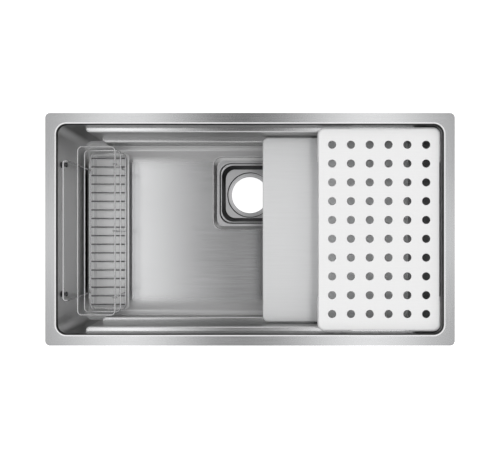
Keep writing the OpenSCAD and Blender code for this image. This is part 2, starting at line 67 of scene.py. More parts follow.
# %% [markdown]
# ## The camera
#
# The sink is seen from straight above through a fairly long lens, so the floor looks smaller than the
# rim and the walls show as narrow bands. A focal length in pixels is easy to measure on a picture:
# it is how many pixels wide a thing is that is as wide as it is far away. The lens in millimetres
# follows from it and from the width of the sensor. The small shift moves the picture down without
# tilting the camera.

# %% Camera above the bowl
PICTURE_WIDTH = 500
SENSOR = 36.0
FOCAL_PIXELS = 623.0
CAMERA_PLACE = (0.0, -0.016, 1.292)
SHIFT_PIXELS = 12

camera_data = bpy.data.cameras.new("camera")
camera_data.sensor_width = SENSOR
camera_data.lens = SENSOR * FOCAL_PIXELS / PICTURE_WIDTH
camera_data.shift_y = SHIFT_PIXELS / PICTURE_WIDTH
camera = bpy.data.objects.new("camera", camera_data)
camera.location = CAMERA_PLACE
bpy.context.scene.collection.objects.link(camera)
bpy.context.scene.camera = camera
bpy.context.scene.view_settings.view_transform = "Standard"
print("lens in millimetres:", round(camera_data.lens, 2))

# %% [markdown]
# ## Writing node trees as sums
#
# A material is a graph of nodes, and linking them one by one is long to read. Two small classes let
# Python's own operators build the graph: a Link stands for one output, and adding, multiplying or
# comparing Links makes a Math node. A Graph makes every other node from its type, its settings and
# its inputs. The same two classes serve materials, the world and Geometry Nodes.

# %% Links and graphs
class Link:
    """One output of a node. Arithmetic on it adds Math nodes to its graph."""

    def __init__(self, graph, socket):
        self.graph = graph
        self.socket = socket

    def math(self, operation, *others):
        values = dict(enumerate((self, *others)))
        return self.graph.node("ShaderNodeMath", {"operation": operation}, values)

    def __add__(self, other):
        return self.math("ADD", other)

    def __sub__(self, other):
        return self.math("SUBTRACT", other)

    def __rsub__(self, other):
        return self.graph.node("ShaderNodeMath", {"operation": "SUBTRACT"}, {0: other, 1: self})

    def __mul__(self, other):
        return self.math("MULTIPLY", other)

    def __truediv__(self, other):
        return self.math("DIVIDE", other)

    def __gt__(self, other):
        return self.math("GREATER_THAN", other)

    def __lt__(self, other):
        return self.math("LESS_THAN", other)

    def __abs__(self):
        return self.math("ABSOLUTE")

    __radd__ = __add__
    __rmul__ = __mul__


class Graph:
    """A node tree that is written as Python expressions."""

    def __init__(self, tree):
        self.tree = tree

    def make(self, kind, settings, inputs):
        node = self.tree.nodes.new(kind)
        for name, value in settings.items():
            setattr(node, name, value)
        for key, value in inputs.items():
            links = value if isinstance(value, list) else [value]
            for item in links:
                if isinstance(item, Link):
                    self.tree.links.new(item.socket, node.inputs[key])
                else:
                    node.inputs[key].default_value = item
        return node

    def node(self, kind, settings={}, inputs={}, output=0):
        return Link(self, self.make(kind, settings, inputs).outputs[output])

    def parts(self, vector):
        """The three numbers of a vector."""
        split = self.make("ShaderNodeSeparateXYZ", {}, {0: vector})
        return [Link(self, socket) for socket in split.outputs]

    def step(self, value, low, high, from_value=0.0, to_value=1.0):
        """Rises smoothly from one value to another while its input goes from low to high."""
        inputs = {"Value": value, "From Min": low, "From Max": high}
        inputs.update({"To Min": from_value, "To Max": to_value})
        return self.node("ShaderNodeMapRange", {"interpolation_type": "SMOOTHSTEP"}, inputs)

    def mix(self, factor, a, b):
        """Goes from number a to number b."""
        return (b - a) * factor + a

    def blend(self, factor, a, b):
        """Goes from colour a to colour b."""
        return self.node("ShaderNodeMix", {"data_type": "RGBA"}, {0: factor, 6: a, 7: b}, 2)


print("graph helpers ready")

# %% [markdown]
# ## The studio
#
# Steel has little colour of its own: it shows what is round it. Two long soft boxes hang over the
# sink, left and right of the camera, and the dark gap between them is what shades the middle of
# the rim and the floor. The gap is darker towards the rear, and the boxes fade at their ends. Lower
# down the room is an even grey. The world draws all this for reflected rays only. The camera itself
# sees plain white, and diffuse rays get an even light.
#
# A direction is given by its lean: how far it goes east or north for each step up. Each edge below
# is a pair of leans, between which the light goes over from one part of the room to the next.

# %% World
BOX_LIGHT = 1.8
GAP_LIGHT = 0.07
HORIZON_LIGHT = 0.62
PLAIN_LIGHT = 1.3
BEYOND_LIGHT = 0.2
SIDE_LIGHT = 0.30
MIDDLE_LIGHT = 0.24
GAP_START = 0.19
GAP_SLOPE = 0.6
GAP_DARKEST, GAP_BRIGHTEST = 0.05, 0.45
LEFT_EDGE = (-0.21, -0.03)
RIGHT_EDGE = (0.0, 0.20)
SIDE_EDGE = (0.22, 0.31)
MIDDLE_EDGE = (0.03, 0.14)
END_EDGE = (0.28, 0.5)
# How far up a direction points where the grey room goes over into the boxes
ROOM_EDGE = (0.74, 0.90)

world = bpy.data.worlds.new("studio")
bpy.context.scene.world = world
world.use_nodes = True
world.node_tree.nodes.clear()
sky = Graph(world.node_tree)
direction = sky.node("ShaderNodeTexCoord", {}, {}, "Generated")
east, north, up = sky.parts(direction)
safe_up = up.math("MAXIMUM", 0.001)
lean = east / safe_up
lean_north = north / safe_up
left_box = sky.step(lean, *LEFT_EDGE, 1.0, 0.0)
right_box = sky.step(lean, *RIGHT_EDGE)
gap = (GAP_START - lean_north) * GAP_SLOPE + GAP_LIGHT
gap = gap.math("MINIMUM", GAP_BRIGHTEST).math("MAXIMUM", GAP_DARKEST)
boxes = sky.mix(left_box + right_box, gap, BOX_LIGHT)
middle = sky.step(abs(lean_north), *MIDDLE_EDGE, 1.0, 0.0)
beyond = sky.step(abs(lean_north), *END_EDGE, 1.0, BEYOND_LIGHT)
outside = sky.step(abs(lean), *SIDE_EDGE)
faded = sky.mix(outside, 1.0, middle * MIDDLE_LIGHT + SIDE_LIGHT)
high = sky.step(up, *ROOM_EDGE)
studio = sky.mix(high, HORIZON_LIGHT, boxes * faded * beyond)
path = sky.make("ShaderNodeLightPath", {}, {})
is_camera = Link(sky, path.outputs["Is Camera Ray"])
is_diffuse = Link(sky, path.outputs["Is Diffuse Ray"])
strength = sky.mix(is_diffuse, sky.mix(is_camera, studio, 1.0), PLAIN_LIGHT)
background = sky.node("ShaderNodeBackground", {}, {"Strength": strength})
sky.make("ShaderNodeOutputWorld", {}, {"Surface": background})
print("world nodes:", len(world.node_tree.nodes))

# %% [markdown]
# ## The floor
#
# The sink stands on a plain white floor. Its matt part keeps the soft shadow, and a little glow for
# rays from the camera brings it to white without more light on the sink. The floor is clear from
# below, so that the underside can be looked at too.

# %% Floor
FLOOR_HALF = 8.0
FLOOR_DROP = 0.0002
FLOOR_COLOUR = (0.8, 0.8, 0.8, 1.0)
FLOOR_GLOW = 0.9
WHITE = (1.0, 1.0, 1.0, 1.0)


def new_object(name, mesh):
    obj = bpy.data.objects.new(name, mesh)
    bpy.context.scene.collection.objects.link(obj)
    return obj


def floor_mesh(half, height):
    corners = [(sx * half, sy * half, height) for sx, sy in ((-1, -1), (1, -1), (1, 1), (-1, 1))]
    mesh = bpy.data.meshes.new("floor")
    mesh.from_pydata(corners, [], [(0, 1, 2, 3)])
    return mesh


floor = new_object("floor", floor_mesh(FLOOR_HALF, cad_box[0].z - FLOOR_DROP))
floor_white = bpy.data.materials.new("floor_white")
floor_white.use_nodes = True
floor_white.node_tree.nodes.clear()
paint = Graph(floor_white.node_tree)
seen = paint.make("ShaderNodeLightPath", {}, {})
straight = Link(paint, seen.outputs["Is Camera Ray"])
matt = paint.node("ShaderNodeBsdfDiffuse", {}, {"Color": FLOOR_COLOUR})
glow = paint.node("ShaderNodeEmission", {}, {"Color": WHITE, "Strength": straight * FLOOR_GLOW})
both = paint.node("ShaderNodeAddShader", {}, {0: matt, 1: glow})
clear = paint.node("ShaderNodeBsdfTransparent", {}, {})
under = paint.node("ShaderNodeNewGeometry", {}, {}, "Backfacing")
one_sided = paint.node("ShaderNodeMixShader", {}, {0: under, 1: both, 2: clear})
paint.make("ShaderNodeOutputMaterial", {}, {"Surface": one_sided})
floor.data.materials.append(floor_white)
print("floor height:", round(cad_box[0].z - FLOOR_DROP, 4))

# %% [markdown]
# ## Brushed steel
#
# Satin steel is rubbed with a belt, so it has fine grooves along one direction. A noise texture that
# is stretched thirty times along that direction gives such grooves. They vary the roughness and the
# brightness a little and feed a very shallow bump. A second noise, round and fine, is the grain of
# the sheet, and a third, broad one is wear. One function makes every steel from a few numbers. The
# scales of a noise say how finely it varies along X, Y and Z.
#
# On a pressed piece the slopes get painted shade, darker than the flats, and the crease between them
# gets a painted highlight. Both are told apart by how far the surface faces up.

# %% Steel helper
ALONG_X = (14, 420, 420)
ALONG_Y = (420, 14, 420)
ALL_ROUND = (60, 60, 60)
TURNED = (900, 40, 40)
SHEET_GRAIN = (1300, 1300, 1300)
WEAR = (11, 11, 11)
SLOPE_EDGE = (0.6, 0.97)
CREASE_START = (0.72, 0.86)
CREASE_END = (0.92, 0.99)
CREASE_LIGHT = 0.8


def material_graph(name):
    material = bpy.data.materials.new(name)
    material.use_nodes = True
    return material, Graph(material.node_tree), material.node_tree.nodes["Principled BSDF"]


def connect(graph, shader, values):
    """Feeds the shader's sockets with links or plain values."""
    for name, value in values.items():
        if isinstance(value, Link):
            graph.tree.links.new(value.socket, shader.inputs[name])
        else:
            shader.inputs[name].default_value = value


def object_place(graph):
    return graph.node("ShaderNodeTexCoord", {}, {}, "Object")


def noise(graph, place, scales, detail=3.0):
    vector = graph.node("ShaderNodeVectorMath", {"operation": "MULTIPLY"}, {0: place, 1: scales})
    return graph.node("ShaderNodeTexNoise", {}, {"Vector": vector, "Scale": 1.0, "Detail": detail})


def relief(graph, height, distance):
    return graph.node("ShaderNodeBump", {}, {"Height": height, "Distance": distance})


def shade(colour, amount):
    return tuple(min(part * amount, 1.0) for part in colour) + (1.0,)


def brushed_steel(name, base, roughness, direction=ALONG_X, contrast=0.07, metallic=1.0,
                  slope_shade=1.0, relief_depth=1.2e-5):
    """Slope shade is how bright steep faces are painted next to level ones. Below 1 the creases get a
    painted highlight.
    """
    material, graph, shader = material_graph(name)
    place = object_place(graph)
    grooves = noise(graph, place, direction)
    grain = noise(graph, place, SHEET_GRAIN, 1.0)
    worn = noise(graph, place, WEAR, 2.0)
    tone = grooves * 0.55 + grain * 0.25 + worn * 0.2
    colour = graph.blend(tone, shade(base, 1 - contrast), shade(base, 1 + contrast))
    # Painted shade on the slopes and a painted highlight on the creases.
    if slope_shade < 1:
        upward = abs(graph.parts(graph.node("ShaderNodeTexCoord", {}, {}, "Normal"))[2])
        level = graph.step(upward, *SLOPE_EDGE)
        crease = graph.step(upward, *CREASE_START) * graph.step(upward, *CREASE_END, 1.0, 0.0)
        colour = graph.blend(level, shade(base, slope_shade), colour)
        colour = graph.blend(crease * CREASE_LIGHT, colour, WHITE)
    connect(graph, shader, {
        "Base Color": colour,
        "Metallic": metallic,
        "Roughness": grooves * 0.10 + (worn * 0.06 + roughness - 0.08),
        "Normal": relief(graph, grooves * 0.7 + grain * 0.3, relief_depth),
    })
    return material


sump_steel = brushed_steel("sump_steel", (0.66, 0.66, 0.67), 0.30, contrast=0.03, relief_depth=3e-6,
                           slope_shade=0.2)
tray_steel = brushed_steel("tray_steel", (0.97, 0.97, 0.975), 0.36, ALONG_Y, metallic=0.35,
                           slope_shade=0.85)
cover_steel = brushed_steel("cover_steel", (0.92, 0.925, 0.93), 0.38, metallic=0.62)
drainer_steel = brushed_steel("drainer_steel", (0.96, 0.96, 0.96), 0.50, ALONG_X, 0.04,
                              metallic=0.12)
zinc_plate = brushed_steel("zinc_plate", (0.62, 0.63, 0.64), 0.38, ALL_ROUND, 0.12)
stud_steel = brushed_steel("stud_steel", (0.11, 0.11, 0.115), 0.16, TURNED)
print("steels:", [m.name for m in bpy.data.materials if "steel" in m.name])

# %% [markdown]
# ## The bowl's steel
#
# The bowl is one pressed sheet, but its faces were not finished alike. The rim is rubbed along each of
# its four sides, so the grooves meet at the corners on a mitre. The floor and the ledges run along X.
# The walls are rougher than the flats. Their colour also holds painted shade: they are darker than the
# flats, darker still in the recesses beyond the ledge ends, and the end walls are painted lighter. The
# bend at the foot of the end walls and the lip just inside the rim get painted shade and are the
# darkest. The ledges get a lighter tone as painted light. The bends at the rim, at the ledges and round
# the sump get a painted highlight, and the margins of the floor along the two long walls are painted
# pale as painted light. The masks below pick each part out by its place and by which way it faces. A
# pair of numbers is where a mask begins and where it is full.

# %% Masks of the bowl
IN_X, IN_Y = 0.401, 0.2175
FLOOR_Z = -0.230
LEDGE_Z = -0.086
RAIL_FOOT_Z = -0.097
RAIL_END = 0.330
LEDGE_END = 0.348
CORNER = 0.020
RIM_BEND = 0.004
FLOOR_BEND = 0.012
FLOOR_REACH = 0.0015
LEDGE_REACH = 0.002
LEVEL_EDGE = (0.72, 0.99)
END_WALL_EDGE = (0.2, 0.9)
LEDGE_TOP_Z = -0.015
LEDGE_BEND_EDGE = (0.1, 0.5)
FLOOR_GAP = 0.0002
SUMP_BEND_DEPTH = 0.0015
SUMP_BEND_FACING = 0.6
SUMP_BEND_LIGHT = 0.8
MARGIN_EDGE = (0.150, 0.190)
MARGIN_HEIGHT = 0.009
FOOT_START = 0.0003
FOOT_EDGE = (FLOOR_Z + FLOOR_BEND, FLOOR_Z + 0.6 * FLOOR_BEND)
FOOT_FADE = (0.12, 0.20)
BEND_START = (0.0012, 0.0024)
BEND_END = (RIM_BEND - 0.0004, RIM_BEND + 0.0012)
LIP_EDGE = (-0.011, -0.006)
LIP_OUT = 0.0030
LIP_FACING = 0.85

bowl_steel, graph, shader = material_graph("bowl_steel")
place = object_place(graph)
x, y, z = graph.parts(place)
facing = [abs(part) for part in graph.parts(graph.node("ShaderNodeTexCoord", {}, {}, "Normal"))]
out_x, out_y = abs(x) - IN_X, abs(y) - IN_Y
corner_x = (out_x + CORNER).math("MAXIMUM", 0.0)
corner_y = (out_y + CORNER).math("MAXIMUM", 0.0)
outwards = (corner_x * corner_x + corner_y * corner_y).math("SQRT") - CORNER
level = graph.step(facing[2], *LEVEL_EDGE)
on_floor = z < (FLOOR_Z + FLOOR_REACH)
ledges = (z > (LEDGE_Z - LEDGE_REACH)) * (z < LEDGE_TOP_Z)
end_wall = graph.step(facing[0], *END_WALL_EDGE)
under_ledges = abs(x) < LEDGE_END
low_wall = (z < RAIL_FOOT_Z) * (abs(x) < RAIL_END)
# Painted shade: the bend at the foot of the end walls is made nearly black.
end_foot_shade = (out_x > -FLOOR_BEND) * graph.step(z, *FOOT_EDGE)
end_foot_shade = end_foot_shade * (z > (FLOOR_Z + FOOT_START)) * graph.step(abs(y), *FOOT_FADE, 1.0, 0.0)
# Painted highlight on the bends at the rim, at the ledges and round the sump.
rim_bend = graph.step(outwards, *BEND_START) * graph.step(outwards, *BEND_END, 1.0, 0.0)
ledge_bend = ledges * graph.step(facing[2], *LEDGE_BEND_EDGE) * (1 - level)
sump_bend = (z < (FLOOR_Z - FLOOR_GAP)) * (z > (FLOOR_Z - SUMP_BEND_DEPTH))
sump_bend = sump_bend * (facing[2] > SUMP_BEND_FACING)
bend_highlight = rim_bend.math("MAXIMUM", ledge_bend).math("MAXIMUM", sump_bend * SUMP_BEND_LIGHT)
# Painted light on the floor margins along the long walls, where the floor would mirror a dark wall.
margin_light = graph.step(abs(y), *MARGIN_EDGE) * (z < (FLOOR_Z + MARGIN_HEIGHT))
margin_light = margin_light * (z > (FLOOR_Z - FLOOR_GAP)) * (1 - bend_highlight)
# Painted shade: a dark band on the wall just below the rim bend.
lip = graph.step(z, *LIP_EDGE) * (outwards < LIP_OUT) * (1 - rim_bend) * (facing[2] < LIP_FACING)
print("masks of the bowl: 12")

# %% [markdown]
# The masks lay the tones over each other, from the broad parts to the narrow ones. The bends with their
# painted highlight and the floor margins with their painted light are also less metallic, so that they
# look pale even where they would mirror a dark wall.

# %% Bowl steel
FLAT_TONE = (0.665, 0.668, 0.675)
# Painted light: the ledges get a lighter tone than the floor.
LEDGE_LIGHT = (0.74, 0.743, 0.75)
# Painted shade on the walls, darkest in the recesses, and painted light on the end walls.
RECESS_SHADE = 0.32
WALL_SHADE = 0.46
LOW_WALL_SHADE = 0.40
END_WALL_LIGHT = 0.80
# Painted shade at the foot of the end walls.
FOOT_SHADE = 0.03
# Painted highlight colour of the bends.
BEND_HIGHLIGHT = (0.92, 0.92, 0.925, 1.0)
# Painted light colour of the floor margins.
MARGIN_LIGHT = (0.86, 0.86, 0.865, 1.0)
# Painted shade for the band just inside the rim.
LIP = (0.05, 0.05, 0.05, 1.0)
BOWL_GRAIN = (1500, 1500, 1500)
BOWL_WEAR = (9, 9, 9)
UNEVEN = 0.07

along_y = (out_x > out_y) * (1 - on_floor)
grooves = graph.mix(along_y, noise(graph, place, ALONG_X), noise(graph, place, ALONG_Y))
grain = noise(graph, place, BOWL_GRAIN, 1.0)
worn = noise(graph, place, BOWL_WEAR, 2.0)
tone = grooves * 0.5 + grain * 0.3 + worn * 0.2
flat_colour = graph.blend(tone, shade(FLAT_TONE, 1 - UNEVEN), shade(FLAT_TONE, 1 + UNEVEN))
ledge_light_colour = graph.blend(tone, shade(LEDGE_LIGHT, 1 - UNEVEN), shade(LEDGE_LIGHT, 1 + UNEVEN))
# Painted shade and light on the walls, by place and by which way they face.
painted_wall_tone = graph.mix(under_ledges, RECESS_SHADE, WALL_SHADE)
painted_wall_tone = graph.mix(low_wall, painted_wall_tone, LOW_WALL_SHADE)
painted_wall_tone = graph.mix(end_wall, painted_wall_tone, END_WALL_LIGHT)
painted_wall_tone = graph.mix(end_foot_shade, painted_wall_tone, FOOT_SHADE) * (tone * 0.2 + 0.9)
painted_wall_colour = graph.node("ShaderNodeCombineColor", {}, {0: painted_wall_tone, 1: painted_wall_tone, 2: painted_wall_tone})
colour = graph.blend(ledges, flat_colour, ledge_light_colour)
colour = graph.blend(level, painted_wall_colour, colour)
roughness = graph.mix(level, graph.mix(low_wall, 0.38, 0.18), graph.mix(ledges, 0.13, 0.09))
roughness = roughness + grooves * 0.08 + worn * 0.04
colour = graph.blend(margin_light, colour, MARGIN_LIGHT)
colour = graph.blend(lip, colour, LIP)
connect(graph, shader, {
    "Base Color": graph.blend(bend_highlight, colour, BEND_HIGHLIGHT),
    "Metallic": 1 - bend_highlight * 0.8 - margin_light * 0.75,
    "Roughness": roughness,
    "Normal": relief(graph, grooves * 0.6 + grain * 0.4, 1.2e-5),
})
print("bowl steel nodes:", len(bowl_steel.node_tree.nodes))

# %% [markdown]
# ## Rubber, foam and damping pads
#
# Moulded rubber is matt with a fine pebbled skin, black on the feet and seals and pale grey on the
# drainer's pads. The foam under the rim has open cells, for which a Voronoi texture is the natural
# choice. The damping pads outside the bowl are pressed with a waffle. It is made of three waves, one
# along each axis, and two of them cross on every face.

# %% Soft materials
PEBBLES = (1800, 1800, 1800)
DUST = (35, 35, 35)
WAFFLE_PITCH = 0.008
WAFFLE_GRAIN = (900, 900, 900)
CELL_SCALE = 700.0


def rubber(name, tone, roughness):
    material, graph, shader = material_graph(name)
    place = object_place(graph)
    pebbles = noise(graph, place, PEBBLES, 2.0)
    dust = noise(graph, place, DUST, 3.0)
    connect(graph, shader, {
        "Base Color": graph.blend(dust, shade(tone, 0.85), shade(tone, 1.15)),
        "Roughness": pebbles * 0.12 + (roughness - 0.06),
        "Normal": relief(graph, pebbles, 4e-5),
    })
    return material


def cellular(name, tone):
    material, graph, shader = material_graph(name)
    inputs = {"Vector": object_place(graph), "Scale": CELL_SCALE}
    cells = graph.node("ShaderNodeTexVoronoi", {}, inputs)
    connect(graph, shader, {
        "Base Color": graph.blend(cells * 1.4, shade(tone, 0.6), shade(tone, 1.3)),
        "Roughness": 0.9,
        "Normal": relief(graph, cells, 1.5e-4),
    })
    return material


def waffle(name, tone):
    material, graph, shader = material_graph(name)
    place = object_place(graph)
    turns = 2 * math.pi / WAFFLE_PITCH
    waves = [(part * turns).math("SINE") for part in graph.parts(place)]
    ridges = (waves[0] + waves[1] + waves[2]) * 0.17 + 0.5
    grain = noise(graph, place, WAFFLE_GRAIN, 2.0)
    connect(graph, shader, {
        "Base Color": graph.blend(grain, shade(tone, 0.85), shade(tone, 1.15)),
        "Roughness": grain * 0.15 + 0.72,
        "Normal": relief(graph, ridges + grain * 0.15, 4e-4),
    })
    return material


pad_rubber = rubber("pad_rubber", (0.66, 0.66, 0.67), 0.5)
black_rubber = rubber("black_rubber", (0.045, 0.045, 0.047), 0.45)
foam = cellular("foam", (0.11, 0.11, 0.12))
damper_rubber = waffle("damper_rubber", (0.30, 0.30, 0.31))
print("soft materials: 4")

# %% [markdown]
# ## Wire steel
#
# The basket is electropolished, which leaves the wire nearly as bright as chrome with a faint ripple
# from drawing. The floor wires and the legs of the hanger, deep in the basket, get a darker colour than
# the rings as painted shade.

# %% Wire steel
BASKET_FLOOR_Z = -0.2078
HANGER_LEG_X = -0.3844
HANGER_RAIL_Z = -0.029
RIPPLE = (260, 260, 260)
STAIN = (30, 30, 30)
BRIGHT_WIRE = ((0.88, 0.88, 0.89, 1.0), (0.96, 0.96, 0.97, 1.0))
SHADED_WIRE = (0.34, 0.34, 0.35, 1.0)

wire_steel, graph, shader = material_graph("wire_steel")
place = object_place(graph)
ripple = noise(graph, place, RIPPLE, 2.0)
stain = noise(graph, place, STAIN, 2.0)
x, y, z = graph.parts(place)
# Painted shade on the wires deep in the basket: the floor wires and the legs of the hanger.
deep_shade = (z < BASKET_FLOOR_Z).math("MAXIMUM", (x < HANGER_LEG_X) * (z < HANGER_RAIL_Z))
bright = graph.blend(stain, *BRIGHT_WIRE)
connect(graph, shader, {
    "Base Color": graph.blend(deep_shade, bright, SHADED_WIRE),
    "Metallic": 1.0,
    "Roughness": ripple * 0.06 + 0.07,
    "Normal": relief(graph, ripple, 6e-6),
})
print("wire steel ready")

# %% [markdown]
# ## Pieces grown by node trees
#
# Wires, perforations and rows of fixings follow a rule, so Geometry Nodes make them. Each tree takes
# a start mesh and a few named sizes. A modifier keeps its inputs under identifiers such as Socket_2
# and not under their names, so the helper remembers which is which. The evaluated result is then
# kept as a plain mesh and the modifier goes.

# %% Helper for node trees
MM = 0.001


def smooth(mesh, angle=35):
    """Shades a mesh smooth, apart from edges sharper than the angle in degrees."""
    mesh.polygons.foreach_set("use_smooth", [True] * len(mesh.polygons))
    mesh.set_sharp_from_angle(angle=math.radians(angle))
    return mesh


def socket_kind(value):
    if isinstance(value, bpy.types.Object):
        return "NodeSocketObject"
    return "NodeSocketInt" if isinstance(value, int) else "NodeSocketFloat"


def grown(name, plan, sizes, material, start):
    """Grows a start mesh by a tree. The plan gets the graph and its inputs by name."""
    tree = bpy.data.node_groups.new(name, "GeometryNodeTree")
    sockets = {"Start": ("INPUT", "NodeSocketGeometry"), "Result": ("OUTPUT", "NodeSocketGeometry")}
    sockets.update({size: ("INPUT", socket_kind(value)) for size, value in sizes.items()})
    keys = {}
    for socket, (way, kind) in sockets.items():
        keys[socket] = tree.interface.new_socket(socket, in_out=way, socket_type=kind).identifier
    graph = Graph(tree)
    entry = graph.make("NodeGroupInput", {}, {})
    given = {socket.name: Link(graph, socket) for socket in entry.outputs if socket.name}
    real = graph.node("GeometryNodeRealizeInstances", {}, {"Geometry": plan(graph, given)})
    dressed = graph.node("GeometryNodeSetMaterial", {}, {"Geometry": real, "Material": material})
    graph.make("NodeGroupOutput", {}, {"Result": dressed})
    piece = new_object(name, start)
    modifier = piece.modifiers.new("grow", "NODES")
    modifier.node_group = tree
    for size, value in sizes.items():
        modifier[keys[size]] = value
    evaluated = piece.evaluated_get(bpy.context.evaluated_depsgraph_get())
    result = bpy.data.meshes.new_from_object(evaluated)
    piece.modifiers.clear()
    piece.data = smooth(result)
    return piece


def seat(piece, body, slot, *replaced):
    """Says what the piece rides on and which nodes it stands for. The slot, where its finish would come
    from, is not used.
    """
    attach(piece, body)
    if replaced:
        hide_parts(*replaced)
    print(piece.name, "faces:", len(piece.data.polygons))
    return piece


def middle_of(node):
    low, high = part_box(node)
    return (Vector(low) + Vector(high)) / 2, (Vector(high) - Vector(low)) / 2


print("tree helper ready")

# %% [markdown]
# ## The wires of the basket
#
# The basket is welded from bent wire. On the bench a wire is cut, bent round a pin at each corner and
# its ends are tumbled round. The tree does the same: it fillets the corners of a bent line and runs a
# circle along it. Each point of the line carries its bend radius and its thickness as attributes. The
# thickness shrinks over the last few points, which makes the domed ends.

# %% Wire tree
DOME = ((0.0, 0.15), (0.04, 0.28), (0.12, 0.475), (0.28, 0.69), (0.55, 0.89))
RING_BEND = 9 * MM
HANGER_BEND = 4.5 * MM


def domed_end(tip, inner, radius):
    """Points of a round end, from the tip inwards: place, bend, thickness."""
    towards = (inner - tip).normalized() * radius
    return [(tip + towards * far, 0.0, share) for far, share in DOME] + [(tip + towards, 0.0, 1.0)]


def open_wire(places, bend, radius):
    places = [Vector(place) for place in places]
    start = domed_end(places[0], places[1], radius)
    end = domed_end(places[-1], places[-2], radius)
    return start + [(place, bend, 1.0) for place in places[1:-1]] + end[::-1]


def line_mesh(name, wires, closed=False):
    points, edges = [], []
    for wire in wires:
        first = len(points)
        points += wire
        edges += [(i, i + 1) for i in range(first, len(points) - 1)]
        edges += [(len(points) - 1, first)] * closed
    mesh = bpy.data.meshes.new(name)
    mesh.from_pydata([point[0] for point in points], edges, [])
    for column, attribute in ((1, "bend"), (2, "thickness")):
        values = mesh.attributes.new(attribute, "FLOAT", "POINT").data
        values.foreach_set("value", [point[column] for point in points])
    return mesh


def attribute(graph, name):
    inputs = {"Name": name}
    return graph.node("GeometryNodeInputNamedAttribute", {"data_type": "FLOAT"}, inputs)


def wire_plan(graph, given):
    line = graph.node("GeometryNodeMeshToCurve", {}, {"Mesh": given["Start"]})
    bent = graph.node("GeometryNodeFilletCurve", {"mode": "POLY"}, {
        "Curve": line, "Count": given["Bend steps"], "Radius": attribute(graph, "bend"),
        "Limit Radius": True})
    section = graph.node("GeometryNodeCurvePrimitiveCircle", {}, {
        "Resolution": given["Sides"], "Radius": given["Radius"]})
    tube = graph.node("GeometryNodeCurveToMesh", {}, {
        "Curve": bent, "Profile Curve": section, "Scale": attribute(graph, "thickness"),
        "Fill Caps": True})
    return graph.node("GeometryNodeMergeByDistance", {}, {"Geometry": tube, "Distance": 1e-6})


def wire_piece(name, wires, radius, closed=False, sides=20):
    sizes = {"Radius": radius, "Sides": sides, "Bend steps": 10}
    piece = grown(name + "_wire", wire_plan, sizes, wire_steel, line_mesh(name, wires, closed))
    return seat(piece, "basket", "wire_steel", name)


# %% [markdown]
# The three rings are the simplest wires: four corners, joined in a circle. Their middle lines follow
# from the boxes of the nodes, so the rings always fit the model.

# %% Rings of the basket
def ring_line(node):
    """Middle line of a closed ring, worked out from its box, with its wire's radius."""
    middle, half = middle_of(node)
    radius = half.z
    corners = [(sx * (half.x - radius), sy * (half.y - radius), 0) for sx, sy in
               ((-1, -1), (1, -1), (1, 1), (-1, 1))]
    return [(middle + Vector(corner), RING_BEND, 1.0) for corner in corners], radius


for ring in ("top_ring", "middle_ring", "bottom_ring"):
    line, ring_radius = ring_line(ring)
    wire_piece(ring, [line], ring_radius, closed=True)

# %% [markdown]
# The hanger is one wire: a rail that drops behind the heads of the studs, and two legs down to the
# bottom ring. The eighteen floor wires are straight. The uprights are hooked over at the top, so
# that no wire end points at a hand.

# %% Hanger, floor wires and uprights
low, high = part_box("hanger_frame")
hanger_radius = 2 * MM
rail_x, leg_x = low[0] + hanger_radius, high[0] - hanger_radius
front, rear = low[1] + hanger_radius, high[1] - hanger_radius
rail_z = high[2] - hanger_radius
hanger = [(leg_x, front, low[2]), (leg_x, front, rail_z), (rail_x, front, rail_z),
          (rail_x, rear, rail_z), (leg_x, rear, rail_z), (leg_x, rear, low[2])]
wire_piece("hanger_frame", [open_wire(hanger, HANGER_BEND, hanger_radius)], hanger_radius)

FLOOR_WIRES = 18
low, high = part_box("basket_floor_wires")
floor_radius = (high[2] - low[2]) / 2
pitch = (high[1] - low[1] - 2 * floor_radius) / (FLOOR_WIRES - 1)
floor_lines = []
for i in range(FLOOR_WIRES):
    across = low[1] + floor_radius + i * pitch
    ends = [(end, across, low[2] + floor_radius) for end in (low[0], high[0])]
    floor_lines.append(open_wire(ends, 0.0, floor_radius))
wire_piece("basket_floor_wires", floor_lines, floor_radius, sides=14)

low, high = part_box("basket_uprights")
left, right = low[0] + ring_radius, high[0] - ring_radius
hook_top = high[2] - ring_radius
hook_bend = (right - left) / 2
uprights = []
for across in (low[1] + ring_radius, (low[1] + high[1]) / 2, high[1] - ring_radius):
    path = [(left, across, low[2]), (left, across, hook_top), (right, across, hook_top),
            (right, across, hook_top - hook_bend - ring_radius)]
    uprights.append(open_wire(path, hook_bend, ring_radius))
wire_piece("basket_uprights", uprights, ring_radius)

# %% [markdown]
# ## The drainer's sheet
#
# The drainer is one steel sheet with sixty punched holes and an edge that is folded down all round.
# The punch rounds the rim of each hole, and that small roll catches a ring of light. The tree fills
# the outline and the holes once on top and once underneath, joins them by a rounded collar in each
# hole, and runs the section of the fold round the outline. The section is the start mesh.

# %% Sheet tree
def arc_points(centre, radius, start, end, steps=6):
    """Points of an arc in a flat section, its angles in degrees."""
    angles = [math.radians(start + (end - start) * i / steps) for i in range(steps + 1)]
    return [(centre[0] + radius * math.cos(a), centre[1] + radius * math.sin(a)) for a in angles]


def section_mesh(name, points):
    mesh = bpy.data.meshes.new(name)
    edges = [(i, i + 1) for i in range(len(points) - 1)]
    mesh.from_pydata([(*point, 0.0) for point in points], edges, [])
    return mesh


def joined(graph, *shapes):
    return graph.node("GeometryNodeJoinGeometry", {}, {"Geometry": list(shapes)})


def moved(graph, shape, **places):
    vector = graph.node("ShaderNodeCombineXYZ", {}, places)
    return graph.node("GeometryNodeTransform", {}, {"Geometry": shape, "Translation": vector})


